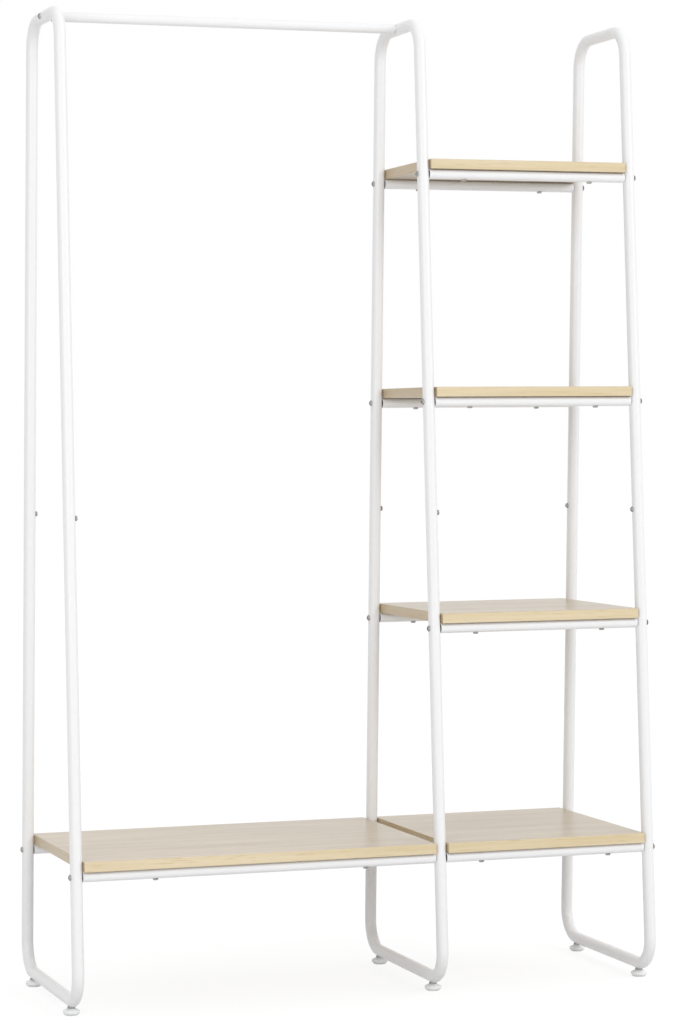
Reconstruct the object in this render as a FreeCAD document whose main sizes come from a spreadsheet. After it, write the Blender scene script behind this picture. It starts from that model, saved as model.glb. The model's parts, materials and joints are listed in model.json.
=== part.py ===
# Free-standing coat rack: three tapered loops of bent steel tube, joined by cross-bars that
# carry five wooden boards, with a hanging rail across the wide bay.
# Frame of the model: X along the width, Y towards the back, Z up, origin on the floor under
# the middle of the rack.

import FreeCAD, Part
import math
import os
import Sketcher

SIZES = [
    # Plan of the rack: distances between the planes of the three frames.
    ("long_bay", 591.5),
    ("short_bay", 358.5),
    # Frame tube. The legs lean towards each other as they rise.
    ("frame_tube_d", 19),
    ("frame_wall", 1.2),
    ("leg_half_depth", 178),
    ("leg_lean_angle", 3.1),
    ("bend_radius", 45),
    ("floor_bar_height", 22),
    ("arch_height", 1549.5),
    # Joint in each leg, where the lower and the upper tube meet.
    ("splice_height", 783),
    ("splice_collar", 4.6),
    ("splice_spigot", 48),
    ("splice_wall", 2),
    ("splice_screw_drop", 20.5),
    # Cross-bars and the hanging rail.
    ("bar_d", 16),
    ("bar_wall", 1),
    ("bottom_rise", 216),
    ("second_drop", 204.5),
    ("third_rise", 156),
    ("top_drop", 245),
    ("bar_plug_length", 18),
    # Boards.
    ("board_thickness", 16),
    ("board_overhang", 12),
    ("board_end_gap", 0.5),
    ("board_edge_bevel", 1),
    # Bolts through the legs, M6 with a low head and a hexagon socket.
    ("bolt_d", 6),
    ("bolt_length", 35),
    ("bolt_head_d", 10),
    ("bolt_head_height", 2.8),
    ("bolt_rim", 1.2),
    ("bolt_crown_d", 7.5),
    ("bolt_socket", 4),
    ("bolt_socket_depth", 2),
    ("stud_length", 49),
    # Screws that hold the two halves of a leg together, M5.
    ("splice_screw_d", 5),
    ("splice_screw_length", 7),
    ("splice_screw_head_d", 8.5),
    ("splice_screw_head_height", 2.8),
    ("splice_screw_crown_d", 6),
    # Wood screws up through the bars into the boards.
    ("board_screw_d", 4),
    ("board_screw_length", 27),
    ("board_screw_tip", 4),
    ("board_screw_head_d", 8.6),
    ("board_screw_head_height", 2.4),
    ("board_screw_crown_d", 6),
    ("screw_inset_long", 125),
    ("screw_inset_short", 70),
    # Levelling feet: a round pad on a threaded stem, turned into a nut in the floor bar.
    ("foot_inset", 49),
    ("pad_d", 26.5),
    ("pad_base_d", 20),
    ("pad_top_d", 19),
    ("pad_base_height", 3.6),
    ("pad_rim", 3.2),
    ("pad_height", 9),
    ("hub_d", 12.5),
    ("hub_height", 1),
    ("stem_d", 8),
    ("stem_floor", 3),
    ("stem_length", 26),
    ("nut_body_d", 10.6),
    ("nut_length", 10),
    # Clearances.
    ("hole_clearance", 0.3),
    ("fit_clearance", 0.1),
    ("thread_clearance", 0.05),
    ("foot_gap", 0.3),
    ("cut_overrun", 5),
]

# Levels at which cross-bars join the frames: the bottom one is set from the floor, the second
# and third from the joints in the legs, and the top one from the arches.
LEVELS = {
    "bottom": "Spec.bottom_rise",
    "second": "(Spec.splice_height - Spec.second_drop)",
    "third": "(Spec.splice_height + Spec.third_rise)",
    "top": "(Spec.arch_height - Spec.top_drop)",
}

doc = FreeCAD.newDocument("CoatRack")
sheet = doc.addObject("Spreadsheet::Sheet", "Spec")
for row, (name, size) in enumerate(SIZES, start=1):
    sheet.set(f"A{row}", name)
    sheet.set(f"B{row}", str(size))
    sheet.setAlias(f"B{row}", name)
doc.recompute()

# Expressions shared by several pieces.
LEAN = "(Spec.leg_lean_angle * 1deg)"
LEG_R = "Spec.frame_tube_d / 2"
BAR_R = "Spec.bar_d / 2"
FOOT_DEPTH = "(Spec.leg_half_depth - Spec.foot_inset)"
FRAME_X = {
    "left": "-(Spec.long_bay + Spec.short_bay) / 2",
    "middle": "(Spec.long_bay - Spec.short_bay) / 2",
    "right": "(Spec.long_bay + Spec.short_bay) / 2",
}
SIDES = {"front": -1, "rear": 1}


def leg_depth(height):
    return f"(Spec.leg_half_depth - tan({LEAN}) * {height})"


def number(expression):
    return float(sheet.evalExpression(expression))


# Helpers for bodies and sketches.
def new_body(label):
    body = doc.addObject("PartDesign::Body", label)
    body.Label = label
    return body


def origin_feature(body, role):
    return next(item for item in body.Origin.OriginFeatures if item.Role == role)


def new_sketch(body, role, name):
    sketch = body.newObject("Sketcher::SketchObject", f"{body.Name}_{name}")
    sketch.AttachmentSupport = [(origin_feature(body, role), "")]
    sketch.MapMode = "FlatFace"
    return sketch


def feature(body, kind, name, profile=None):
    item = body.newObject(kind, f"{body.Name}_{name}")
    if profile is not None:
        item.Profile = profile
    return item


def bind(sketch, constraint, expression):
    index = sketch.addConstraint(constraint)
    sketch.setExpression(f"Constraints[{index}]", expression)


def add_circle(sketch, radius, across="0", up="0"):
    centre = FreeCAD.Vector(number(across), number(up), 0)
    circle = sketch.addGeometry(Part.Circle(centre, FreeCAD.Vector(0, 0, 1), number(radius)))
    bind(sketch, Sketcher.Constraint("Radius", circle, number(radius)), radius)
    bind_point(sketch, circle, 3, across, up)


def bind_point(sketch, item, point, across, up):
    for kind, expression in (("DistanceX", across), ("DistanceY", up)):
        if expression == "0":
            axis = -2 if kind == "DistanceX" else -1
            sketch.addConstraint(Sketcher.Constraint("PointOnObject", item, point, axis))
        else:
            distance = Sketcher.Constraint(kind, -1, 1, item, point, number(expression))
            bind(sketch, distance, expression)


def add_outline(sketch, points):
    """Closed outline through points that are pairs of expressions."""
    spots = [FreeCAD.Vector(number(across), number(up), 0) for across, up in points]
    first = sketch.GeometryCount
    for spot, following in zip(spots, spots[1:] + spots[:1]):
        sketch.addGeometry(Part.LineSegment(spot, following))
    for index, (across, up) in enumerate(points):
        before = first + (index - 1) % len(points)
        sketch.addConstraint(Sketcher.Constraint("Coincident", before, 2, first + index, 1))
        bind_point(sketch, first + index, 1, across, up)


def through_pocket(body, name, sketch):
    """Cut both ways from the sketch through the whole body."""
    cut = feature(body, "PartDesign::Pocket", name, sketch)
    cut.Type = "ThroughAll"
    cut.SideType = "Symmetric"
    body.Tip = cut
    return cut


def short_pocket(body, name, sketch, length, along_normal):
    cut = feature(body, "PartDesign::Pocket", name, sketch)
    cut.setExpression("Length", length)
    cut.Reversed = along_normal
    body.Tip = cut
    return cut


def mirror(body, name, role, originals):
    copy = feature(body, "PartDesign::Mirrored", name)
    copy.Originals = originals
    copy.MirrorPlane = (origin_feature(body, role), [""])
    body.Tip = copy
    return copy


def revolve(body, name, sketch, role):
    solid = feature(body, "PartDesign::Revolution", name, sketch)
    solid.ReferenceAxis = (origin_feature(body, role), [""])
    body.Tip = solid
    return solid


def place(item, across="0", back="0", up="0"):
    for axis, expression in zip("xyz", (across, back, up)):
        if expression != "0":
            item.setExpression(f".Placement.Base.{axis}", expression)


def link(source, name, across="0", back="0", up="0", turn=None):
    copy = doc.addObject("App::Link", name)
    copy.LinkedObject = source
    if turn is not None:
        copy.LinkPlacement = FreeCAD.Placement(FreeCAD.Vector(), turn)
    for axis, expression in zip("xyz", (across, back, up)):
        if expression != "0":
            copy.setExpression(f".LinkPlacement.Base.{axis}", expression)
    return copy


def group(label, copies):
    compound = doc.addObject("Part::Compound", label)
    compound.Links = copies
    compound.Label = label
    return compound


def mirrored_turn():
    return FreeCAD.Rotation(FreeCAD.Vector(0, 0, 1), 180)


NODES = []


# Frames: each loop is two bent tubes. Half of a tube is swept from the middle of its straight
# bar, round the bend and along the leg, and mirrored.
def half_loop(body, bar_height, end_height, rising):
    path = new_sketch(body, "YZ_Plane", "path")
    lean = math.radians(number("Spec.leg_lean_angle"))
    radius = number("Spec.bend_radius")
    bar = number(bar_height)
    direction = 1 if rising else -1
    centre_up = bar + direction * radius
    reach = (centre_up * math.sin(lean) + radius) / math.cos(lean)
    centre = FreeCAD.Vector(number("Spec.leg_half_depth") - reach, centre_up, 0)
    bar_end = FreeCAD.Vector(centre.x, bar, 0)
    outwards = FreeCAD.Vector(math.cos(lean), math.sin(lean), 0)
    leg_start = centre + outwards * radius
    leg_end = FreeCAD.Vector(number(leg_depth(end_height)), number(end_height), 0)
    middle = outwards + FreeCAD.Vector(0, -direction, 0)
    middle.normalize()
    path.addGeometry(Part.LineSegment(FreeCAD.Vector(0, bar, 0), bar_end))
    path.addGeometry(Part.Arc(bar_end, centre + middle * radius, leg_start))
    path.addGeometry(Part.LineSegment(leg_start, leg_end))
    arc_ends = (1, 2) if rising else (2, 1)
    path.addConstraint(Sketcher.Constraint("Horizontal", 0))
    path.addConstraint(Sketcher.Constraint("PointOnObject", 0, 1, -2))
    path.addConstraint(Sketcher.Constraint("Tangent", 0, 2, 1, arc_ends[0]))
    path.addConstraint(Sketcher.Constraint("Tangent", 1, arc_ends[1], 2, 1))
    bind(path, Sketcher.Constraint("Radius", 1, radius), "Spec.bend_radius")
    bind(path, Sketcher.Constraint("DistanceY", -1, 1, 0, 1, bar), bar_height)
    bind_point(path, 2, 2, leg_depth(end_height), end_height)
    turn = f"90deg + {LEAN}" if rising else f"-90deg + {LEAN}"
    angle = math.radians(90) * direction + lean
    bind(path, Sketcher.Constraint("Angle", 2, angle), turn)
    section = new_sketch(body, "XZ_Plane", "section")
    add_circle(section, LEG_R, up=bar_height)
    add_circle(section, f"{LEG_R} - Spec.frame_wall", up=bar_height)
    tube = feature(body, "PartDesign::AdditivePipe", "tube", section)
    tube.Spine = (path, ["Edge1", "Edge2", "Edge3"])
    doc.recompute()
    return mirror(body, "loop", "XZ_Plane", [tube])


def bolt_holes(body, levels, rail):
    """Clearance holes through both walls of the legs, and of the arch for the rail's bolt."""
    sketch = new_sketch(body, "YZ_Plane", "bolt_holes")
    radius = "Spec.bolt_d / 2 + Spec.hole_clearance"
    for level in levels:
        for side in SIDES.values():
            add_circle(sketch, radius, f"{side} * {leg_depth(LEVELS[level])}", LEVELS[level])
    if rail:
        add_circle(sketch, radius, up="Spec.arch_height")
    through_pocket(body, "bolt_pocket", sketch)


SPLICE_END = f"Spec.splice_collar / 2 * cos({LEAN})"
SCREW_HEIGHT = "Spec.splice_height - Spec.splice_screw_drop"


def lower_frame(side, levels, screws_right):
    body = new_body(f"{side}_lower_frame")
    half_loop(body, "Spec.floor_bar_height", f"(Spec.splice_height - {SPLICE_END})", True)
    bolt_holes(body, levels, False)
    screws = new_sketch(body, "YZ_Plane", "splice_screw_holes")
    for back in SIDES.values():
        place_back = f"{back} * {leg_depth(f'({SCREW_HEIGHT})')}"
        add_circle(screws, "Spec.splice_screw_d / 2 + Spec.hole_clearance", place_back, SCREW_HEIGHT)
    short_pocket(body, "splice_screw_pocket", screws, f"{LEG_R} + Spec.cut_overrun", screws_right)
    nuts = new_sketch(body, "XY_Plane", "nut_holes")
    for back in SIDES.values():
        add_circle(nuts, "Spec.nut_body_d / 2 + Spec.fit_clearance", up=f"{back} * {FOOT_DEPTH}")
    short_pocket(body, "nut_pocket", nuts, "Spec.floor_bar_height", True)
    place(body, FRAME_X[side])
    NODES.append(body)


def upper_frame(side, levels, rail):
    body = new_body(f"{side}_upper_frame")
    half_loop(body, "Spec.arch_height", f"(Spec.splice_height + {SPLICE_END})", False)
    if levels or rail:
        bolt_holes(body, levels, rail)
    place(body, FRAME_X[side])
    NODES.append(body)


lower_frame("left", ["bottom"], True)
lower_frame("middle", ["bottom", "second"], True)
lower_frame("right", ["bottom", "second"], False)
upper_frame("left", [], True)
upper_frame("middle", ["third", "top"], True)
upper_frame("right", ["third", "top"], False)


# Leg splices: a tube with a collar between the two halves of the leg, whose spigots fit the
# bores above and below. The screw of the lower half goes into its wall.
def splice_master():
    body = new_body("splice_master")
    spigot_r = f"{LEG_R} - Spec.frame_wall - Spec.fit_clearance"
    bore_r = f"{spigot_r} - Spec.splice_wall"
    tip = "Spec.splice_collar / 2 + Spec.splice_spigot"
    outline = [
        (bore_r, f"-({tip})"),
        (spigot_r, f"-({tip})"),
        (spigot_r, "-(Spec.splice_collar / 2)"),
        (LEG_R, "-(Spec.splice_collar / 2)"),
        (LEG_R, "Spec.splice_collar / 2"),
        (spigot_r, "Spec.splice_collar / 2"),
        (spigot_r, tip),
        (bore_r, tip),
    ]
    sketch = new_sketch(body, "XZ_Plane", "outline")
    add_outline(sketch, outline)
    revolve(body, "turned", sketch, "Z_Axis")
    hole = new_sketch(body, "YZ_Plane", "screw_hole")
    add_circle(hole, "Spec.splice_screw_d / 2 + Spec.thread_clearance", up=SPLICE_DROP)
    short_pocket(body, "screw_pocket", hole, LEG_R, True)
    return body


# Along the leaning leg, the screw sits this far from the middle of the collar.
SPLICE_DROP = f"-(Spec.splice_screw_drop / cos({LEAN}))"


def leaning(back, facing):
    """Turn of a piece on a leg: upright axis along the leg, and facing right or left."""
    lean = FreeCAD.Rotation(FreeCAD.Vector(1, 0, 0), back * number("Spec.leg_lean_angle"))
    half_turn = FreeCAD.Rotation() if facing > 0 else mirrored_turn()
    return lean * half_turn


def leg_splices(side, master, facing):
    copies = []
    for name, back in SIDES.items():
        depth = f"{back} * {leg_depth('Spec.splice_height')}"
        turn = leaning(back, facing)
        copies.append(link(master, f"{side}_{name}_splice", FRAME_X[side], depth, "Spec.splice_height", turn))
    NODES.append(group(f"{side}_leg_splices", copies))


SPLICE = splice_master()
FACING = {"left": 1, "middle": 1, "right": -1}
for frame_side, frame_facing in FACING.items():
    leg_splices(frame_side, SPLICE, frame_facing)


# Turned pieces are made once, and placed as links.
def turned(label, outline, along="X_Axis"):
    """Revolve an outline whose points are (distance from the axis, distance along it)."""
    body = new_body(label)
    plane = "XY_Plane" if along == "X_Axis" else "XZ_Plane"
    sketch = new_sketch(body, plane, "outline")
    points = [(far, off) if along == "X_Axis" else (off, far) for off, far in outline]
    add_outline(sketch, points)
    revolve(body, "turned", sketch, along)
    return body


def headed(label, piece, rim, shank):
    """Bevelled head with its seat at the origin, and its shank along plus X."""
    top = f"-Spec.{piece}_head_height"
    head_r = f"Spec.{piece}_head_d / 2"
    outline = [("0", top), (f"Spec.{piece}_crown_d / 2", top)]
    if rim:
        outline.append((head_r, f"-{rim}"))
    return turned(label, outline + [(head_r, "0")] + shank)


def plain_shank(diameter, length):
    return [(f"{diameter} / 2", "0"), (f"{diameter} / 2", length), ("0", length)]


def bolt_master():
    body = headed("bolt_master", "bolt", "Spec.bolt_rim", plain_shank("Spec.bolt_d", "Spec.bolt_length"))
    socket = new_sketch(body, "YZ_Plane", "socket")
    socket.setExpression(".AttachmentOffset.Base.z", "-Spec.bolt_head_height")
    corner = "Spec.bolt_socket / sqrt(3)"
    corners = [(f"{corner} * cos({turn}deg)", f"{corner} * sin({turn}deg)") for turn in range(0, 360, 60)]
    add_outline(socket, corners)
    short_pocket(body, "socket_pocket", socket, "Spec.bolt_socket_depth", True)
    return body


def board_screw_master():
    radius = "Spec.board_screw_d / 2"
    shank = [
        (radius, "0"),
        (radius, "Spec.board_screw_length - Spec.board_screw_tip"),
        ("0", "Spec.board_screw_length"),
    ]
    return headed("board_screw_master", "board_screw", None, shank)


def splice_screw_master():
    shank = plain_shank("Spec.splice_screw_d", "Spec.splice_screw_length")
    return headed("splice_screw_master", "splice_screw", None, shank)


def stud_master():
    end = "Spec.stud_length / 2"
    radius = "Spec.bolt_d / 2"
    outline = [("0", f"-{end}"), (radius, f"-{end}"), (radius, end), ("0", end)]
    return turned("stud_master", outline)


def plug_master():
    bore = "Spec.bolt_d / 2 + Spec.thread_clearance"
    outside = "Spec.bar_d / 2 - Spec.bar_wall - Spec.fit_clearance"
    length = "Spec.bar_plug_length"
    return turned("plug_master", [(bore, "0"), (outside, "0"), (outside, length), (bore, length)])


BOLT = bolt_master()
BOARD_SCREW = board_screw_master()
SPLICE_SCREW = splice_screw_master()
STUD = stud_master()
PLUG = plug_master()
UPRIGHT = FreeCAD.Rotation(FreeCAD.Vector(0, 1, 0), -90)


# Bolts through the legs, seen from outside; the middle frame has studs where bars meet it
# from both sides.
def leg_fasteners(label, master, side, levels, offset, turn=None):
    copies = []
    for level in levels:
        for name, back in SIDES.items():
            height = LEVELS[level]
            across = f"{FRAME_X[side]} + {offset}"
            depth = f"{back} * {leg_depth(height)}"
            copies.append(link(master, f"{label}_{level}_{name}", across, depth, height, turn))
    NODES.append(group(label, copies))


leg_fasteners("left_frame_bolts", BOLT, "left", ["bottom"], f"-({LEG_R})")
leg_fasteners("middle_frame_bolts", BOLT, "middle", ["second", "third", "top"], f"-({LEG_R})")
leg_fasteners("middle_frame_studs", STUD, "middle", ["bottom"], "0")
leg_fasteners("right_frame_bolts", BOLT, "right", LEVELS, LEG_R, mirrored_turn())


def splice_screws():
    copies = []
    for side, facing in FACING.items():
        turn = mirrored_turn() if facing > 0 else None
        for name, back in SIDES.items():
            across = f"{FRAME_X[side]} + {facing} * {LEG_R}"
            depth = f"{back} * {leg_depth(f'({SCREW_HEIGHT})')}"
            copies.append(link(SPLICE_SCREW, f"{side}_{name}_screw", across, depth, SCREW_HEIGHT, turn))
    NODES.append(group("splice_screws", copies))


splice_screws()


# Hanging rail across the tops of the left and middle arches, with a plug and a bolt at each end.
def round_bar(body, bay):
    """Tube cut square at both ends, which butt against the tubes of two frames."""
    section = new_sketch(body, "YZ_Plane", "section")
    add_circle(section, BAR_R)
    add_circle(section, f"{BAR_R} - Spec.bar_wall")
    tube = feature(body, "PartDesign::Pad", "tube", section)
    tube.setExpression("Length", f"{bay} - 2 * {LEG_R}")
    body.Tip = tube


def hanging_rail():
    body = new_body("hanging_rail")
    round_bar(body, "Spec.long_bay")
    place(body, f"{FRAME_X['left']} + {LEG_R}", up="Spec.arch_height")
    NODES.append(body)
    ends = {"left": (1, None), "middle": (-1, mirrored_turn())}
    plugs = []
    bolts = []
    for side, (inwards, turn) in ends.items():
        seat = f"{FRAME_X[side]} + {inwards} * ({LEG_R} + Spec.fit_clearance)"
        head = f"{FRAME_X[side]} - {inwards} * {LEG_R}"
        plugs.append(link(PLUG, f"rail_{side}_plug", seat, up="Spec.arch_height", turn=turn))
        bolts.append(link(BOLT, f"rail_{side}_bolt", head, up="Spec.arch_height", turn=turn))
    NODES.append(group("rail_end_plugs", plugs))
    NODES.append(group("rail_bolts", bolts))


hanging_rail()

# Shelves: name, level, left frame, right frame, bay and place of the screws along the bars.
SHELVES = [
    ("long_shelf", "bottom", "left", "middle", "Spec.long_bay", "Spec.screw_inset_long"),
    ("bottom_shelf", "bottom", "middle", "right", "Spec.short_bay", "Spec.screw_inset_short"),
    ("second_shelf", "second", "middle", "right", "Spec.short_bay", "Spec.screw_inset_short"),
    ("third_shelf", "third", "middle", "right", "Spec.short_bay", "Spec.screw_inset_short"),
    ("top_shelf", "top", "middle", "right", "Spec.short_bay", "Spec.screw_inset_short"),
]


def cross_bar(name, back, level, left, bay, inset):
    """Bar between two legs, with holes for the board's screws."""
    body = new_body(name)
    round_bar(body, bay)
    holes = new_sketch(body, "XY_Plane", "screw_holes")
    for along in (f"{inset} - {LEG_R}", f"{bay} - {inset} - {LEG_R}"):
        add_circle(holes, "Spec.board_screw_d / 2 + Spec.hole_clearance", along)
    through_pocket(body, "screw_pocket", holes)
    height = LEVELS[level]
    place(body, f"{FRAME_X[left]} + {LEG_R}", f"{back} * {leg_depth(height)}", height)
    NODES.append(body)


def board(name, level, left, bay, inset):
    """Board between two frames, resting on its two bars, with pilot holes from below."""
    body = new_body(f"{name}_board")
    height = LEVELS[level]
    half_length = f"({bay} / 2 - {LEG_R} - Spec.board_end_gap)"
    half_depth = f"({leg_depth(height)} + Spec.board_overhang)"
    outline = new_sketch(body, "XY_Plane", "outline")
    corners = [(-1, -1), (1, -1), (1, 1), (-1, 1)]
    add_outline(outline, [(f"{a} * {half_length}", f"{b} * {half_depth}") for a, b in corners])
    slab = feature(body, "PartDesign::Pad", "slab", outline)
    slab.setExpression("Length", "Spec.board_thickness")
    doc.recompute()
    edges = feature(body, "PartDesign::Chamfer", "edges")
    edges.Base = (slab, [f"Edge{index}" for index in range(1, len(slab.Shape.Edges) + 1)])
    edges.setExpression("Size", "Spec.board_edge_bevel")
    body.Tip = edges
    pilots = new_sketch(body, "XY_Plane", "pilot_holes")
    for along in (-1, 1):
        for back in SIDES.values():
            radius = "Spec.board_screw_d / 2 + Spec.thread_clearance"
            spot = (f"{along} * ({bay} / 2 - {inset})", f"{back} * {leg_depth(height)}")
            add_circle(pilots, radius, *spot)
    depth = "Spec.board_screw_length - Spec.bar_d + Spec.hole_clearance"
    short_pocket(body, "pilot_pocket", pilots, depth, True)
    place(body, f"{FRAME_X[left]} + {bay} / 2", up=f"{height} + {BAR_R}")
    NODES.append(body)


def bar_plugs(name, level, left, right):
    height = LEVELS[level]
    copies = []
    for side, inwards, turn in ((left, 1, None), (right, -1, mirrored_turn())):
        for place_name, back in SIDES.items():
            across = f"{FRAME_X[side]} + {inwards} * ({LEG_R} + Spec.fit_clearance)"
            depth = f"{back} * {leg_depth(height)}"
            copies.append(link(PLUG, f"{name}_{side}_{place_name}_plug", across, depth, height, turn))
    NODES.append(group(f"{name}_bar_plugs", copies))


def board_screws(name, level, left, bay, inset):
    height = LEVELS[level]
    copies = []
    for end, along in (("left", inset), ("right", f"({bay} - {inset})")):
        for place_name, back in SIDES.items():
            across = f"{FRAME_X[left]} + {along}"
            depth = f"{back} * {leg_depth(height)}"
            seat = f"{height} - {BAR_R}"
            copies.append(link(BOARD_SCREW, f"{name}_{end}_{place_name}_screw", across, depth, seat, UPRIGHT))
    NODES.append(group(f"{name}_screws", copies))


for shelf, shelf_level, left_frame, right_frame, bay_width, screw_inset in SHELVES:
    for bar_name, bar_back in SIDES.items():
        cross_bar(f"{shelf}_{bar_name}_bar", bar_back, shelf_level, left_frame, bay_width, screw_inset)
    board(shelf, shelf_level, left_frame, bay_width, screw_inset)
    bar_plugs(shelf, shelf_level, left_frame, right_frame)
    board_screws(shelf, shelf_level, left_frame, bay_width, screw_inset)


# Levelling feet. The nut's flange hangs below the floor bar, and the pad's hub turns up to it.
HUB_TOP = "(Spec.pad_height + Spec.hub_height)"


def foot_nut_master():
    bore = "Spec.stem_d / 2 + Spec.thread_clearance"
    body_r = "Spec.nut_body_d / 2"
    flange_r = "Spec.hub_d / 2"
    bottom = f"{HUB_TOP} + Spec.foot_gap"
    seat = f"Spec.floor_bar_height - {LEG_R}"
    top = f"{seat} + Spec.nut_length"
    outline = [(bore, bottom), (flange_r, bottom), (flange_r, seat), (body_r, seat), (body_r, top), (bore, top)]
    return turned("foot_nut_master", outline, "Z_Axis")


def foot_pad_master():
    hole = "Spec.stem_d / 2 + Spec.fit_clearance"
    outline = [
        ("0", "0"),
        ("Spec.pad_base_d / 2", "0"),
        ("Spec.pad_d / 2", "Spec.pad_base_height"),
        ("Spec.pad_d / 2", "Spec.pad_base_height + Spec.pad_rim"),
        ("Spec.pad_top_d / 2", "Spec.pad_height"),
        ("Spec.hub_d / 2", "Spec.pad_height"),
        ("Spec.hub_d / 2", HUB_TOP),
        (hole, HUB_TOP),
        (hole, "Spec.stem_floor"),
        ("0", "Spec.stem_floor"),
    ]
    return turned("foot_pad_master", outline, "Z_Axis")


def foot_stem_master():
    radius = "Spec.stem_d / 2"
    top = "Spec.stem_floor + Spec.stem_length"
    outline = [("0", "Spec.stem_floor"), (radius, "Spec.stem_floor"), (radius, top), ("0", top)]
    return turned("foot_stem_master", outline, "Z_Axis")


def levelling_feet():
    nut = foot_nut_master()
    pad = foot_pad_master()
    stem = foot_stem_master()
    for side in FRAME_X:
        nuts = []
        for name, back in SIDES.items():
            depth = f"{back} * {FOOT_DEPTH}"
            nuts.append(link(nut, f"{side}_{name}_nut", FRAME_X[side], depth))
            for piece, master in (("pad", pad), ("stem", stem)):
                copy = link(master, f"{side}_{name}_{piece}_link", FRAME_X[side], depth)
                NODES.append(group(f"{side}_{name}_foot_{piece}", [copy]))
        NODES.append(group(f"{side}_foot_nuts", nuts))


levelling_feet()


# Check every object, then write one file for each sub-part.
doc.recompute()
for item in doc.Objects:
    bad = [state for state in item.State if state in ("Invalid", "Error")]
    if bad:
        raise RuntimeError(f"{item.Label} failed: {bad}")
for node in NODES:
    shape = node.Shape
    if shape.isNull() or not shape.isValid() or not shape.Solids:
        raise RuntimeError(f"{node.Label} has no valid solid")
os.makedirs("parts", exist_ok=True)
for node in NODES:
    node.Shape.exportStep(f"parts/{node.Label}.step")
    print(node.Label, len(node.Shape.Solids), round(node.Shape.Volume))
print(len(NODES), "nodes")
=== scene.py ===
# %% [markdown]
# # A coat rack of white steel tube and oak boards
# The rack is a flat-pack stand: three tapered loops of bent tube, thin cross-bars between
# them, five boards and a hanging rail. Its shape comes packed from the CAD model. These cells
# give it its finishes, and model the small parts whose detail the CAD model leaves out.

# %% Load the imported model
import json
import math

import bmesh
import bpy
from mathutils import Matrix, Vector


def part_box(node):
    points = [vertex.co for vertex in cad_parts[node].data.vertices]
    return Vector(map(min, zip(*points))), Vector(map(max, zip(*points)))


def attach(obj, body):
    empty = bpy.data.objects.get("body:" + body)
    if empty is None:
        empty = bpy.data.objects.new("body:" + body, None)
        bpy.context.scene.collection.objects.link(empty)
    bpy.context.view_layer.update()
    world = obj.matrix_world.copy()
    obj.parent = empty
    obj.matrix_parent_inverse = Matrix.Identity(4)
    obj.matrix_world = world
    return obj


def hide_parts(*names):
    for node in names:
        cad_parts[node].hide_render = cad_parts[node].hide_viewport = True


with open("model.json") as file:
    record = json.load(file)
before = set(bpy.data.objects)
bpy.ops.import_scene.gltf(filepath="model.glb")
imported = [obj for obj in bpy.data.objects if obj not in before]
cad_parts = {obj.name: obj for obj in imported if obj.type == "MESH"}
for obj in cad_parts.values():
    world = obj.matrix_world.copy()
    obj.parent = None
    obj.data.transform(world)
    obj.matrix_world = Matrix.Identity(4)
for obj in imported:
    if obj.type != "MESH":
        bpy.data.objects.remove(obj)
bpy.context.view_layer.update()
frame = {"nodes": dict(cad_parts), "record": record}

MM = 0.001

# %% [markdown]
# ## Colours and nodes
# A screen colour is written as sRGB hex, while a shader works with linear light. One
# function turns the first into the second. Another adds a node, fills its settings or its
# sockets, and links what feeds it, so that each material below reads as a list of nodes.

# %% Helpers for materials
def colour(hex_text):
    """Linear colour of an sRGB hex value."""
    parts = [int(hex_text[start:start + 2], 16) / 255 for start in (1, 3, 5)]
    linear = [part / 12.92 if part <= 0.04045 else ((part + 0.055) / 1.055) ** 2.4
              for part in parts]
    return (*linear, 1)


def add_node(tree, kind, settings=None, links=None):
    """New node with its properties or sockets set, and its inputs linked."""
    node = tree.nodes.new(kind)
    for name, value in (settings or {}).items():
        if isinstance(name, int) or name in node.inputs:
            node.inputs[name].default_value = value
        else:
            setattr(node, name, value)
    for name, source in (links or {}).items():
        tree.links.new(source, node.inputs[name])
    return node


def new_material(name, settings):
    """Material with one Principled shader, whose settings are given."""
    material = bpy.data.materials.new(name)
    material.use_nodes = True
    tree = material.node_tree
    tree.nodes.clear()
    shader = add_node(tree, "ShaderNodeBsdfPrincipled", settings)
    add_node(tree, "ShaderNodeOutputMaterial", links={"Surface": shader.outputs["BSDF"]})
    return material, tree, shader


def per_metre(size_mm):
    """Noise scale that gives patches of about this size."""
    return 1 / (size_mm * MM)


print("white is", colour("#ffffff"))

# %% [markdown]
# ## Powder-coated steel
# The tubes are sprayed with polyester powder and baked. The film is semi-gloss and a little
# wavy, which is called orange peel. Real peel is about 1 mm wide and too fine to show here,
# so it is drawn 2.5 mm wide. It needs a bump only, since the colour is the same all over.

# %% White powder coat
PEEL_MM, FILM_PATCH_MM = 2.5, 60
DULLEST, GLOSSIEST = 0.35, 0.27


def powder_coat():
    material, tree, shader = new_material("powder_coated_steel", {
        "Base Color": colour("#f1f1f2"),
        "IOR": 1.5,
    })
    place = add_node(tree, "ShaderNodeTexCoord")
    peel = add_node(tree, "ShaderNodeTexNoise",
                    {"Scale": per_metre(PEEL_MM), "Detail": 2.0, "Roughness": 0.5},
                    {"Vector": place.outputs["Object"]})
    waves = add_node(tree, "ShaderNodeBump", {"Strength": 0.12, "Distance": 0.15 * MM},
                     {"Height": peel.outputs["Fac"]})
    film = add_node(tree, "ShaderNodeTexNoise", {"Scale": per_metre(FILM_PATCH_MM), "Detail": 3.0},
                    {"Vector": place.outputs["Object"]})
    gloss = add_node(tree, "ShaderNodeMapRange", {"To Min": GLOSSIEST, "To Max": DULLEST},
                     {"Value": film.outputs["Fac"]})
    tree.links.new(waves.outputs["Normal"], shader.inputs["Normal"])
    tree.links.new(gloss.outputs["Result"], shader.inputs["Roughness"])
    return material


POWDER_COAT = powder_coat()
print("made", POWDER_COAT.name)

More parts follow.
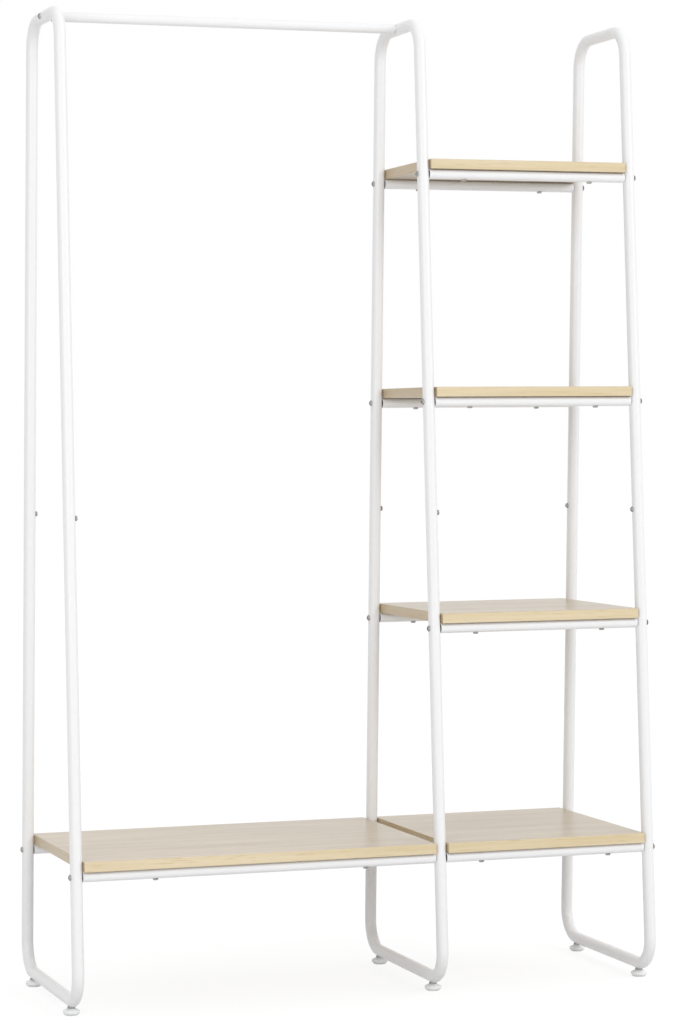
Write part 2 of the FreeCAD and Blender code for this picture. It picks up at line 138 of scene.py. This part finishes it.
# %% [markdown]
# ## Oak foil
# The boards are particle board under a printed melamine foil in pale oak. Its grain runs
# along the board. Three layers draw it: broad light and dark bands about 35 mm across,
# growth lines about 7 mm apart that wander slightly, and pores like pencil dashes. Real pores
# are about 0.3 mm wide and too fine to show here, so they are drawn 1.6 mm wide. Each pattern
# is stretched along the grain. The foil is satin, and its pores are a touch duller. The edges
# carry a band of a warmer foil, whose grain follows each edge. The short edges are painted
# darker: painted shade, which puts the shade that falls on the end faces into their colour.

# %% Oak foil and edge band
BAND_LENGTH, BAND_WIDTH = 420, 35
GROWTH_LENGTH, GROWTH_WIDTH = 260, 7
PORE_LENGTH, PORE_WIDTH = 38, 1.6
BAND_SHARE, GROWTH_SHARE = 0.55, 0.45


def oak(name, pale, dark, pore, along):
    """Printed oak whose grain runs along axis 0, the length of the board, or 1, its depth."""
    material, tree, shader = new_material(name, {"IOR": 1.5})
    place = add_node(tree, "ShaderNodeTexCoord")

    def stretched(length_mm, width_mm):
        size = [per_metre(width_mm)] * 3
        size[along] = per_metre(length_mm)
        mapping = add_node(tree, "ShaderNodeMapping", {"vector_type": "POINT", "Scale": size},
                           {"Vector": place.outputs["Object"]})
        return mapping.outputs["Vector"]

    bands = add_node(tree, "ShaderNodeTexNoise", {"Scale": 1.0, "Detail": 3.0, "Distortion": 0.4},
                     {"Vector": stretched(BAND_LENGTH, BAND_WIDTH)})
    lines = add_node(tree, "ShaderNodeTexNoise",
                     {"Scale": 1.0, "Detail": 4.0, "Roughness": 0.6, "Distortion": 0.8},
                     {"Vector": stretched(GROWTH_LENGTH, GROWTH_WIDTH)})
    pores = add_node(tree, "ShaderNodeTexNoise", {"Scale": 1.0, "Detail": 2.0, "Roughness": 0.5},
                     {"Vector": stretched(PORE_LENGTH, PORE_WIDTH)})
    figure = add_node(tree, "ShaderNodeMath", {"operation": "MULTIPLY_ADD", 1: BAND_SHARE},
                      {0: bands.outputs["Fac"]})
    faint_lines = add_node(tree, "ShaderNodeMath", {"operation": "MULTIPLY", 1: GROWTH_SHARE},
                           {0: lines.outputs["Fac"]})
    tree.links.new(faint_lines.outputs["Value"], figure.inputs[2])
    spread = add_node(tree, "ShaderNodeMapRange", {"From Min": 0.38, "From Max": 0.62},
                      {"Value": figure.outputs["Value"]})
    wood = add_node(tree, "ShaderNodeMix",
                    {"data_type": "RGBA", 6: colour(dark), 7: colour(pale)},
                    {0: spread.outputs["Result"]})
    dashes = add_node(tree, "ShaderNodeMapRange",
                      {"From Min": 0.6, "From Max": 0.72, "To Max": 0.5},
                      {"Value": pores.outputs["Fac"]})
    printed = add_node(tree, "ShaderNodeMix", {"data_type": "RGBA", 7: colour(pore)},
                       {0: dashes.outputs["Result"], 6: wood.outputs[2]})
    satin = add_node(tree, "ShaderNodeMapRange", {"To Min": 0.28, "To Max": 0.45},
                     {"Value": dashes.outputs["Result"]})
    dents = add_node(tree, "ShaderNodeBump",
                     {"Strength": 0.25, "Distance": 0.05 * MM, "invert": True},
                     {"Height": dashes.outputs["Result"]})
    tree.links.new(printed.outputs[2], shader.inputs["Base Color"])
    tree.links.new(satin.outputs["Result"], shader.inputs["Roughness"])
    tree.links.new(dents.outputs["Normal"], shader.inputs["Normal"])
    return material


OAK_FOIL = oak("oak_melamine_foil", "#c9baa3", "#b6a68d", "#99886f", 0)
EDGE_BAND_LONG = oak("oak_edge_band_lengthwise", "#e4d4b4", "#d7c49d", "#bea87d", 0)
# The crosswise band's colours are set darker than the lengthwise band's. This is painted shade on
# the short end faces.
SHADED_EDGE_BAND_SHORT = oak("oak_edge_band_crosswise_painted_shade", "#c8b595", "#bda683", "#a78e69", 1)
print("made", OAK_FOIL.name, EDGE_BAND_LONG.name, SHADED_EDGE_BAND_SHORT.name)

# %% [markdown]
# ## Plated fasteners and moulded feet
# Bolts and screws are nickel plated, which is warm and bright. Studs, nuts, the plugs in the
# bars and the rods of the feet are zinc plated, which is cooler and duller. Plating follows
# the rolled and cut steel below it, so both get a fine uneven gloss. The foot pads are moulded
# from white nylon with a faint eroded grain.

# %% Nickel, zinc and nylon
def plated(name, tint, roughness, grain_mm):
    material, tree, shader = new_material(name, {"Base Color": colour(tint), "Metallic": 1.0})
    place = add_node(tree, "ShaderNodeTexCoord")
    marks = add_node(tree, "ShaderNodeTexNoise", {"Scale": per_metre(grain_mm), "Detail": 4.0},
                     {"Vector": place.outputs["Object"]})
    gloss = add_node(tree, "ShaderNodeMapRange",
                     {"To Min": roughness - 0.08, "To Max": roughness + 0.1},
                     {"Value": marks.outputs["Fac"]})
    scratch = add_node(tree, "ShaderNodeBump", {"Strength": 0.15, "Distance": 0.03 * MM},
                       {"Height": marks.outputs["Fac"]})
    tree.links.new(gloss.outputs["Result"], shader.inputs["Roughness"])
    tree.links.new(scratch.outputs["Normal"], shader.inputs["Normal"])
    return material


def nylon():
    material, tree, shader = new_material("moulded_white_nylon", {
        "Base Color": colour("#f5f6f6"),
        "IOR": 1.53,
        "Roughness": 0.42,
    })
    place = add_node(tree, "ShaderNodeTexCoord")
    grain = add_node(tree, "ShaderNodeTexNoise", {"Scale": per_metre(0.8), "Detail": 2.0},
                     {"Vector": place.outputs["Object"]})
    eroded = add_node(tree, "ShaderNodeBump", {"Strength": 0.2, "Distance": 0.05 * MM},
                      {"Height": grain.outputs["Fac"]})
    tree.links.new(eroded.outputs["Normal"], shader.inputs["Normal"])
    return material


NICKEL = plated("nickel_plated_steel", "#a3a19e", 0.26, 0.9)
ZINC = plated("zinc_plated_steel", "#999b9e", 0.34, 0.6)
NYLON = nylon()
print("made", NICKEL.name, ZINC.name, NYLON.name)

# %% [markdown]
# ## Finish of the CAD nodes
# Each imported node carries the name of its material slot. A node whose shape is right stays
# as it is, and only gets the finish of that slot.

# %% Give each node its finish
FINISH = {
    "powder_coated_steel": POWDER_COAT,
    "oak_board": OAK_FOIL,
    "nickel_plated_steel": NICKEL,
    "zinc_plated_steel": ZINC,
    "white_plastic": NYLON,
}
slot_of = {row["node"]: row["material_slot"] for row in frame["record"]["subparts"]}
for node_name, node_object in frame["nodes"].items():
    for material_slot in node_object.material_slots:
        material_slot.material = FINISH[slot_of[node_name]]
print("slots:", sorted(set(slot_of.values())))

# %% [markdown]
# ## New pieces
# A new piece is finished in one place: its mesh is in metres where the CAD puts it, its
# object stays at the origin, it rides on the body of the node that it stands for, and it
# hides that node. One helper does this for all of them.

# %% Helper that finishes a piece
def finish_piece(name, mesh, materials, node, body):
    """Object from a bmesh that stands for a CAD node and rides on its body."""
    data = bpy.data.meshes.new(name)
    mesh.to_mesh(data)
    mesh.free()
    for material in materials:
        data.materials.append(material)
    piece = bpy.data.objects.new(name, data)
    bpy.context.scene.collection.objects.link(piece)
    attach(piece, body)
    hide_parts(node)
    print(name, "has", len(data.polygons), "faces")
    return piece


print("the frames, splices, bars, plugs, studs and nuts keep their packed shape")

# %% [markdown]
# ## Boards
# A board is cut square and banded, and its edges are eased by about 1 mm. A box with every
# edge bevelled in three steps gives that soft line of light along the edge. The top and
# bottom take the foil, the long edges one band and the short edges the other.

# %% Five boards
EASED_EDGE = 0.9 * MM
SHELVES = ["long_shelf", "bottom_shelf", "second_shelf", "third_shelf", "top_shelf"]
BOARD_FINISHES = [OAK_FOIL, EDGE_BAND_LONG, SHADED_EDGE_BAND_SHORT]
BAND_OF_AXIS = {2: 0, 1: 1, 0: 2}


def board(node):
    low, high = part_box(node)
    mesh = bmesh.new()
    bmesh.ops.create_cube(mesh, size=1)
    bmesh.ops.scale(mesh, verts=mesh.verts, vec=high - low)
    bmesh.ops.translate(mesh, verts=mesh.verts, vec=(low + high) / 2)
    bmesh.ops.bevel(mesh, geom=mesh.edges[:], offset=EASED_EDGE, offset_type="OFFSET",
                    segments=3, profile=0.5, affect="EDGES", material=-1)
    for face in mesh.faces:
        facing = [abs(part) for part in face.normal]
        main_axis = facing.index(max(facing))
        face.material_index = BAND_OF_AXIS[main_axis]
        face.smooth = max(facing) < 0.999
    return mesh


for shelf in SHELVES:
    node_name = f"{shelf}_board"
    finish_piece(f"{shelf}_eased_board", board(node_name), BOARD_FINISHES, node_name, "rack")

# %% [markdown]
# ## Where the fasteners are
# Equal fasteners share one CAD node, as a group of separate solids. Merging a copy of that
# mesh and walking along its edges finds each solid, and the box round it says where one
# bolt or screw sits.

# %% Boxes of separate solids
def solid_boxes(node):
    """Lowest and highest corner of each separate solid in a CAD node."""
    mesh = bmesh.new()
    mesh.from_mesh(frame["nodes"][node].data)
    bmesh.ops.remove_doubles(mesh, verts=mesh.verts, dist=0.001 * MM)
    waiting = set(mesh.verts)
    boxes = []
    while waiting:
        found = [waiting.pop()]
        for vert in found:
            near = [edge.other_vert(vert) for edge in vert.link_edges]
            fresh = [other for other in near if other in waiting]
            waiting.difference_update(fresh)
            found.extend(fresh)
        low = Vector([min(vert.co[axis] for vert in found) for axis in range(3)])
        high = Vector([max(vert.co[axis] for vert in found) for axis in range(3)])
        boxes.append((low, high))
    mesh.free()
    return boxes


print("bolts on the right frame:", len(solid_boxes("right_frame_bolts")))

# %% [markdown]
# ## Turned and moulded shapes
# A bolt, a screw or a foot pad is round, so its outline is drawn once and spun about its
# own axis, as a lathe would turn it. Curved parts of an outline come from an arc.

# %% Helpers for round pieces
def spun(outline, steps):
    """Bmesh of an outline of (radius, height) in millimetres, spun round Z."""
    mesh = bmesh.new()
    spots = [mesh.verts.new((radius * MM, 0, height * MM)) for radius, height in outline]
    lines = [mesh.edges.new(pair) for pair in zip(spots, spots[1:])]
    bmesh.ops.spin(mesh, geom=spots + lines, cent=(0, 0, 0), axis=(0, 0, 1), angle=2 * math.pi,
                   steps=steps, use_merge=True)
    bmesh.ops.remove_doubles(mesh, verts=mesh.verts, dist=0.001 * MM)
    return mesh


def arc(radius, height, steps, start, end, across=0.0, up=0.0):
    """Points of an elliptic arc, with its angles in degrees from the horizontal."""
    turns = [math.radians(start + (end - start) * step / steps) for step in range(steps + 1)]
    return [(across + radius * math.cos(turn), up + height * math.sin(turn)) for turn in turns]


print("a quarter arc:", arc(1, 1, 2, 0, 90))

# %% [markdown]
# ## Drive recesses
# The head of a bolt or screw has a recess for its key. The flat of the head is filled round a
# smaller outline, a hexagon or a cross, and that outline is pushed in.

# %% Helpers for a recess
def cut_recess(mesh, corners, depth):
    """Close the open top of a spun head round a recess whose corners are in millimetres."""
    rim = [edge for edge in mesh.edges if edge.is_boundary]
    height = rim[0].verts[0].co.z
    spots = [mesh.verts.new((across * MM, up * MM, height)) for across, up in corners]
    mouth = [mesh.edges.new(pair) for pair in zip(spots, spots[1:] + spots[:1])]
    bmesh.ops.triangle_fill(mesh, use_beauty=True, use_dissolve=False, edges=rim + mouth)
    walls = bmesh.ops.extrude_edge_only(mesh, edges=mouth)
    sunk = [item for item in walls["geom"] if isinstance(item, bmesh.types.BMVert)]
    bmesh.ops.translate(mesh, verts=sunk, vec=(0, 0, -depth * MM))
    floor_edges = [item for item in walls["geom"] if isinstance(item, bmesh.types.BMEdge)
                   and all(vert in sunk for vert in item.verts)]
    bmesh.ops.contextual_create(mesh, geom=floor_edges)
    bmesh.ops.recalc_face_normals(mesh, faces=mesh.faces)


def ring_corners(radius, count):
    turns = [math.radians(360 * index / count) for index in range(count)]
    return [(radius * math.cos(turn), radius * math.sin(turn)) for turn in turns]


def cross_corners(reach, half_width):
    """Corners of a cross recess, going round once."""
    r, w = reach, half_width
    return [(r, -w), (r, w), (w, w), (w, r), (-w, r), (-w, w), (-r, w), (-r, -w), (-w, -w),
            (-w, -r), (w, -r), (w, -w)]


print("a cross has", len(cross_corners(2, 1)), "corners")

# %% [markdown]
# ## Shading and copies
# A turned piece looks smooth, with crisp lines only at its sharp edges. One master is made of
# each kind of fastener, and a copy of it goes to each seat, turned so that its head looks out.

# %% Helpers for shading and copies
def shade(mesh, limit=35):
    """Smooth faces, with edges sharper than the limit kept crisp."""
    for face in mesh.faces:
        face.smooth = True
    for edge in mesh.edges:
        if edge.is_manifold:
            edge.smooth = edge.calc_face_angle() < math.radians(limit)


def placed(master, seats):
    """Bmesh with a copy of the master at each (place, direction of its top)."""
    data = bpy.data.meshes.new("master")
    master.to_mesh(data)
    master.free()
    mesh = bmesh.new()
    for spot, outwards in seats:
        mesh.from_mesh(data)
        turn = Vector(outwards).to_track_quat("Z", "Y").to_matrix().to_4x4()
        fresh = mesh.verts[-len(data.vertices):]
        bmesh.ops.transform(mesh, matrix=Matrix.Translation(spot) @ turn, verts=fresh)
        mesh.verts.ensure_lookup_table()
    bpy.data.meshes.remove(data)
    return mesh


print("seats are given as (place, direction of the top)")

# %% [markdown]
# ## Bolts
# M6 furniture bolts hold each cross-bar and the rail to the frames. The head is a low
# button with a 4 mm hexagon socket. Its dome catches the light as a small bright dot with a
# dark rim, which a plain cone would not do.

# %% Button-head bolt
BOLT_HEAD_D, BOLT_HEAD_H, BOLT_D, BOLT_LENGTH = 10, 2.8, 6, 35
TIP_CHAMFER, SOCKET_FLATS, SOCKET_DEPTH = 0.6, 4, 1.9


def button_bolt():
    """M6 bolt whose head is seated at the origin and whose top looks up."""
    shank, head = BOLT_D / 2, BOLT_HEAD_D / 2
    dome = arc(head - 0.15, BOLT_HEAD_H - 0.35, 8, 0, 58, up=0.35)
    outline = [(0, -BOLT_LENGTH), (shank - TIP_CHAMFER, -BOLT_LENGTH),
               (shank, TIP_CHAMFER - BOLT_LENGTH), (shank, 0), (head - 0.2, 0), (head, 0.15)]
    mesh = spun(outline + dome, 40)
    cut_recess(mesh, ring_corners(SOCKET_FLATS / math.sqrt(3), 6), SOCKET_DEPTH)
    shade(mesh)
    return mesh


print("bolt:", BOLT_LENGTH, "mm, head", BOLT_HEAD_D, "mm")

# %% [markdown]
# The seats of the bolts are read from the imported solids. On the left and middle frames each
# head looks left, on the right frame right, and the rail has a head at either end.

# %% Bolts on the frames and the rail


def bolt_seats(node, side_of):
    """Head seats of the bolts in a node. side_of gives the side that a head is on."""
    seats = []
    for low, high in solid_boxes(node):
        middle = (low + high) / 2
        side = side_of(middle)
        end = high.x if side > 0 else low.x
        seats.append((Vector((end - side * BOLT_HEAD_H * MM, middle.y, middle.z)), (side, 0, 0)))
    return seats


rail_low, rail_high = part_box("hanging_rail")
rail_middle = (rail_low.x + rail_high.x) / 2
BOLT_SIDES = {
    "left_frame_bolts": lambda middle: -1,
    "middle_frame_bolts": lambda middle: -1,
    "right_frame_bolts": lambda middle: 1,
    "rail_bolts": lambda middle: 1 if middle.x > rail_middle else -1,
}
for bolt_node, bolt_side in BOLT_SIDES.items():
    bolts = placed(button_bolt(), bolt_seats(bolt_node, bolt_side))
    finish_piece(f"{bolt_node}_button_heads", bolts, [NICKEL], bolt_node, "rack")

# %% [markdown]
# ## Screws
# Pan-head screws with a cross recess hold the boards from below and lock the two halves of
# each leg. A wood screw has a coarse thread, but it sits inside the bar and the board, so
# only its core is modelled.

# %% Pan-head screw
CROSS_ARM, CROSS_DEPTH = 0.55, 1.1
BOARD_SCREW = {"head_d": 8.6, "head_h": 2.4, "shank_d": 4, "length": 27, "tip": 4}
SPLICE_SCREW = {"head_d": 8.5, "head_h": 2.8, "shank_d": 5, "length": 7, "tip": 0.5}


def pan_screw(head_d, head_h, shank_d, length, tip):
    """Screw whose head is seated at the origin and whose top looks up."""
    head = head_d / 2
    dome = arc(head * 0.4, head_h * 0.7, 7, 0, 62, across=head * 0.6, up=head_h * 0.3)
    outline = [(0, -length), (shank_d / 2, tip - length), (shank_d / 2, 0), (head - 0.15, 0),
               (head, 0.15)] + dome
    top = max(height for radius, height in outline)
    outline = [(radius, height * head_h / top if height > 0 else height)
               for radius, height in outline]
    mesh = spun(outline, 36)
    cut_recess(mesh, cross_corners(head_d * 0.27, CROSS_ARM), CROSS_DEPTH)
    shade(mesh)
    return mesh


print("board screw:", BOARD_SCREW["length"], "mm, splice screw:", SPLICE_SCREW["length"], "mm")

# %% [markdown]
# The board screws look down. The splice screws look towards the inside of the rack: those of
# the left and middle frames to the right, and those of the right frame to the left.

# %% Screws of the boards and the legs
def board_screw_seats(node):
    seats = []
    for low, high in solid_boxes(node):
        middle = (low + high) / 2
        head_seat = low.z + BOARD_SCREW["head_h"] * MM
        seats.append((Vector((middle.x, middle.y, head_seat)), (0, 0, -1)))
    return seats


def splice_screw_seats():
    past_middle_frame = rail_high.x + 100 * MM
    seats = []
    for low, high in solid_boxes("splice_screws"):
        middle = (low + high) / 2
        side = -1 if middle.x > past_middle_frame else 1
        end = high.x if side > 0 else low.x
        head_seat = end - side * SPLICE_SCREW["head_h"] * MM
        seats.append((Vector((head_seat, middle.y, middle.z)), (side, 0, 0)))
    return seats


for shelf in SHELVES:
    screw_node = f"{shelf}_screws"
    screws = placed(pan_screw(**BOARD_SCREW), board_screw_seats(screw_node))
    finish_piece(f"{shelf}_pan_screws", screws, [NICKEL], screw_node, "rack")
finish_piece("splice_pan_screws", placed(pan_screw(**SPLICE_SCREW), splice_screw_seats()),
             [NICKEL], "splice_screws", "rack")

# %% [markdown]
# ## Levelling feet
# Each foot is a nylon pad moulded round the end of an M8 threaded rod, which turns into a
# nut in the floor bar. The pad stands on a narrow ring. It widens to a rounded rim, and a
# shallow cone leads up to a small hub, in which the rod sits.

# %% Foot pad
RIM_ROLL = 1
RIM_ACROSS, RIM_LOW, RIM_HIGH = 12.24, 3.98, 6.25
PAD_RING = [(0, 0.4), (8.8, 0.4), (9.2, 0), (9.7, 0), (10.15, 0.17)]
PAD_CONE = [(9.7, 8.8), (9.0, 9), (6.9, 9), (6.4, 9.15)]
PAD_HUB = [(6.25, 9.5), (5.95, 9.9), (5.6, 10), (4.1, 10), (4.1, 3), (0, 3)]


def foot_pad():
    """Pad that stands on the floor at the origin."""
    rim = arc(RIM_ROLL, RIM_ROLL, 4, -42, 0, across=RIM_ACROSS, up=RIM_LOW)
    rim += arc(RIM_ROLL, RIM_ROLL, 5, 0, 59, across=RIM_ACROSS, up=RIM_HIGH)
    mesh = spun(PAD_RING + rim + PAD_CONE + PAD_HUB, 64)
    bmesh.ops.recalc_face_normals(mesh, faces=mesh.faces)
    shade(mesh, 40)
    return mesh


print("pad:", 2 * (RIM_ACROSS + RIM_ROLL), "mm across")

# %% [markdown]
# The rod gets a real helical thread, which shows when the foot is turned out. One tooth of the
# thread is spun round many times while it climbs by one pitch at each turn, and a plain core
# closes its inside and its ends.

# %% Threaded rod
THREAD_PITCH, THREAD_R, THREAD_CORE_R = 1.25, 4.0, 3.3
STEPS_PER_TURN = 24
ROD_LENGTH = 26


def thread(length):
    """Open helical ribbon of a thread, climbing from half a pitch above the origin."""
    foot, flank = THREAD_CORE_R, THREAD_CORE_R + 0.05
    tooth = [(foot, 0), (flank, 0.1), (THREAD_R, 0.56), (THREAD_R, 0.69), (flank, 1.15),
             (foot, THREAD_PITCH)]
    mesh = bmesh.new()
    spots = [mesh.verts.new((r * MM, 0, z * MM)) for r, z in tooth]
    lines = [mesh.edges.new(pair) for pair in zip(spots, spots[1:])]
    turns = int((length - 2 * THREAD_PITCH) / THREAD_PITCH)
    bmesh.ops.spin(mesh, geom=spots + lines, cent=(0, 0, 0), axis=(0, 0, 1),
                   angle=2 * math.pi * turns, dvec=(0, 0, THREAD_PITCH * MM / STEPS_PER_TURN),
                   steps=STEPS_PER_TURN * turns)
    bmesh.ops.remove_doubles(mesh, verts=mesh.verts, dist=0.001 * MM)
    bmesh.ops.translate(mesh, verts=mesh.verts, vec=(0, 0, THREAD_PITCH / 2 * MM))
    return mesh


def threaded_rod(length):
    """M8 rod from its lower end at the origin upwards."""
    mesh = thread(length)
    body = THREAD_CORE_R + 0.02
    core_mesh = spun([(0, 0), (THREAD_CORE_R - 0.25, 0), (body, 0.4), (body, length - 0.7),
                      (THREAD_CORE_R - 0.6, length), (0, length)], 24)
    bmesh.ops.recalc_face_normals(core_mesh, faces=core_mesh.faces)
    core_data = bpy.data.meshes.new("core")
    core_mesh.to_mesh(core_data)
    core_mesh.free()
    mesh.from_mesh(core_data)
    bpy.data.meshes.remove(core_data)
    shade(mesh, 20)
    return mesh


print("rod: M8 x", THREAD_PITCH, "mm,", ROD_LENGTH, "mm long")

# %% [markdown]
# Each foot is a body of its own, which moves down when it is turned out. Its pad and its rod
# ride on that body, so both move with it.

# %% Six feet
for frame_side in ("left", "middle", "right"):
    for depth_side in ("front", "rear"):
        foot = f"{frame_side}_{depth_side}_foot"
        low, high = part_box(f"{foot}_pad")
        under = Vector(((low.x + high.x) / 2, (low.y + high.y) / 2, 0))
        finish_piece(f"{foot}_moulded_pad", placed(foot_pad(), [(under, (0, 0, 1))]),
                     [NYLON], f"{foot}_pad", foot)
        low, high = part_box(f"{foot}_stem")
        start = Vector((under.x, under.y, low.z))
        finish_piece(f"{foot}_threaded_rod", placed(threaded_rod(ROD_LENGTH), [(start, (0, 0, 1))]),
                     [ZINC], f"{foot}_stem", foot)

# %% [markdown]
# ## Floor
# The rack stands on a pale floor before a white background. The floor keeps a soft shadow,
# because only part of what the camera sees there is a plain white glow, and the rest is paint
# that the lamps light.

# %% White floor
FLOOR_HALF_WIDTH = 20
GLOW, GLOW_SHARE = 1.16, 0.72


def white_floor():
    material = bpy.data.materials.new("white_floor")
    material.use_nodes = True
    tree = material.node_tree
    tree.nodes.clear()
    paint = add_node(tree, "ShaderNodeBsdfDiffuse", {"Color": colour("#dadada")})
    glow = add_node(tree, "ShaderNodeEmission", {"Color": (1, 1, 1, 1), "Strength": GLOW})
    path = add_node(tree, "ShaderNodeLightPath")
    seen = add_node(tree, "ShaderNodeMath", {"operation": "MAXIMUM"},
                    {0: path.outputs["Is Camera Ray"], 1: path.outputs["Is Glossy Ray"]})
    share = add_node(tree, "ShaderNodeMath", {"operation": "MULTIPLY", 1: GLOW_SHARE},
                     {0: seen.outputs["Value"]})
    mix = add_node(tree, "ShaderNodeMixShader", {},
                   {0: share.outputs["Value"], 1: paint.outputs["BSDF"],
                    2: glow.outputs["Emission"]})
    add_node(tree, "ShaderNodeOutputMaterial", links={"Surface": mix.outputs["Shader"]})
    return material


floor_mesh = bmesh.new()
bmesh.ops.create_grid(floor_mesh, x_segments=1, y_segments=1, size=FLOOR_HALF_WIDTH)
floor_data = bpy.data.meshes.new("floor")
floor_mesh.to_mesh(floor_data)
floor_mesh.free()
floor_data.materials.append(white_floor())
floor = bpy.data.objects.new("floor", floor_data)
bpy.context.scene.collection.objects.link(floor)
print("floor:", 2 * FLOOR_HALF_WIDTH, "m wide")

# %% [markdown]
# ## Room
# The room looks white all round, but it lights the rack less from the left and from low down,
# as a studio with grey screens there. That draws the thin dark rim along the left of each tube
# and shades the undersides. The first three nodes find the rays that see the room itself.

# %% World
LEFT_LEVEL, HORIZON_LEVEL, ZENITH_LEVEL = 0.5, 0.6, 1.2


def white_room():
    world = bpy.data.worlds.new("white_room")
    world.use_nodes = True
    tree = world.node_tree
    tree.nodes.clear()
    path = add_node(tree, "ShaderNodeLightPath")
    seen = add_node(tree, "ShaderNodeMath", {"operation": "MAXIMUM"},
                    {0: path.outputs["Is Camera Ray"], 1: path.outputs["Is Glossy Ray"]})
    clear = add_node(tree, "ShaderNodeMath", {"operation": "MAXIMUM"},
                     {0: seen.outputs["Value"], 1: path.outputs["Is Transmission Ray"]})
    way = add_node(tree, "ShaderNodeTexCoord")
    parts = add_node(tree, "ShaderNodeSeparateXYZ", {}, {"Vector": way.outputs["Generated"]})
    side = add_node(tree, "ShaderNodeMapRange",
                    {"From Min": -1.0, "From Max": 0.0, "To Min": LEFT_LEVEL, "To Max": 1.0},
                    {"Value": parts.outputs["X"]})
    height = add_node(tree, "ShaderNodeMapRange",
                      {"To Min": HORIZON_LEVEL, "To Max": ZENITH_LEVEL},
                      {"Value": parts.outputs["Z"]})
    dimmed = add_node(tree, "ShaderNodeMath", {"operation": "MULTIPLY"},
                      {0: side.outputs["Result"], 1: height.outputs["Result"]})
    level = add_node(tree, "ShaderNodeMapRange", {"To Max": 1.0},
                     {"Value": clear.outputs["Value"], "To Min": dimmed.outputs["Value"]})
    room = add_node(tree, "ShaderNodeBackground", {"Color": (1, 1, 1, 1)},
                    {"Strength": level.outputs["Result"]})
    add_node(tree, "ShaderNodeOutputWorld", links={"Surface": room.outputs["Background"]})
    return world


bpy.context.scene.world = white_room()
print("world:", bpy.context.scene.world.name)

# %% [markdown]
# ## Lamps
# Three soft lamps light the rack from the front: a key light from the upper right, a broad
# fill from the left, and a narrow strip whose reflection runs down the tubes.

# %% Soft boxes
def soft_box(name, place, target, width, height, watts):
    """Area lamp that faces a point."""
    lamp = bpy.data.lights.new(name, "AREA")
    lamp.shape = "RECTANGLE"
    lamp.size = width
    lamp.size_y = height
    lamp.energy = watts
    holder = bpy.data.objects.new(name, lamp)
    bpy.context.scene.collection.objects.link(holder)
    holder.location = place
    holder.rotation_euler = (Vector(target) - Vector(place)).to_track_quat("-Z", "Y").to_euler()
    return holder


soft_box("key_light", (3.2, -3.4, 3.0), (0, 0, 0.8), 2.2, 2.2, 50)
soft_box("fill_light", (-3.0, -3.6, 1.6), (0, 0, 0.7), 2.5, 2.5, 52)
soft_box("strip_light", (2.4, -3.0, 1.0), (0, 0, 0.9), 0.3, 2.4, 3)

# %% [markdown]
# ## Camera
# The photograph was taken from 4.7 m in front, 1.6 m left of the middle and 0.9 m up. The
# place, the turn and the lens come from matching the ends of bars, legs and boards to it. The
# lens looks level and the frame is shifted down, which keeps upright lines upright.

# %% Camera at the photograph's viewpoint
FRAME_W, FRAME_H = 675, 1024
FOCAL_PX = 3073.1
CENTRE_ROW = 430.9
YAW, PITCH, ROLL = 0.32226, -0.00228, -0.00657
SENSOR_MM = 36
camera_data = bpy.data.cameras.new("camera")
camera_data.sensor_width = SENSOR_MM
camera_data.lens = FOCAL_PX / FRAME_H * SENSOR_MM
camera_data.shift_y = -(FRAME_H / 2 - CENTRE_ROW) / FRAME_H
camera = bpy.data.objects.new("camera", camera_data)
bpy.context.scene.collection.objects.link(camera)
camera.location = (-1.57593, -4.73505, 0.90481)
to_right = Matrix.Rotation(-YAW, 4, "Z")
to_horizon = Matrix.Rotation(math.pi / 2 + PITCH, 4, "X")
tilt = Matrix.Rotation(ROLL, 4, "Z")
camera.rotation_euler = (to_right @ to_horizon @ tilt).to_euler()
bpy.context.scene.camera = camera
bpy.context.scene.view_settings.view_transform = "Standard"
print("lens", round(camera_data.lens, 1), "mm, frame", FRAME_W, "x", FRAME_H)
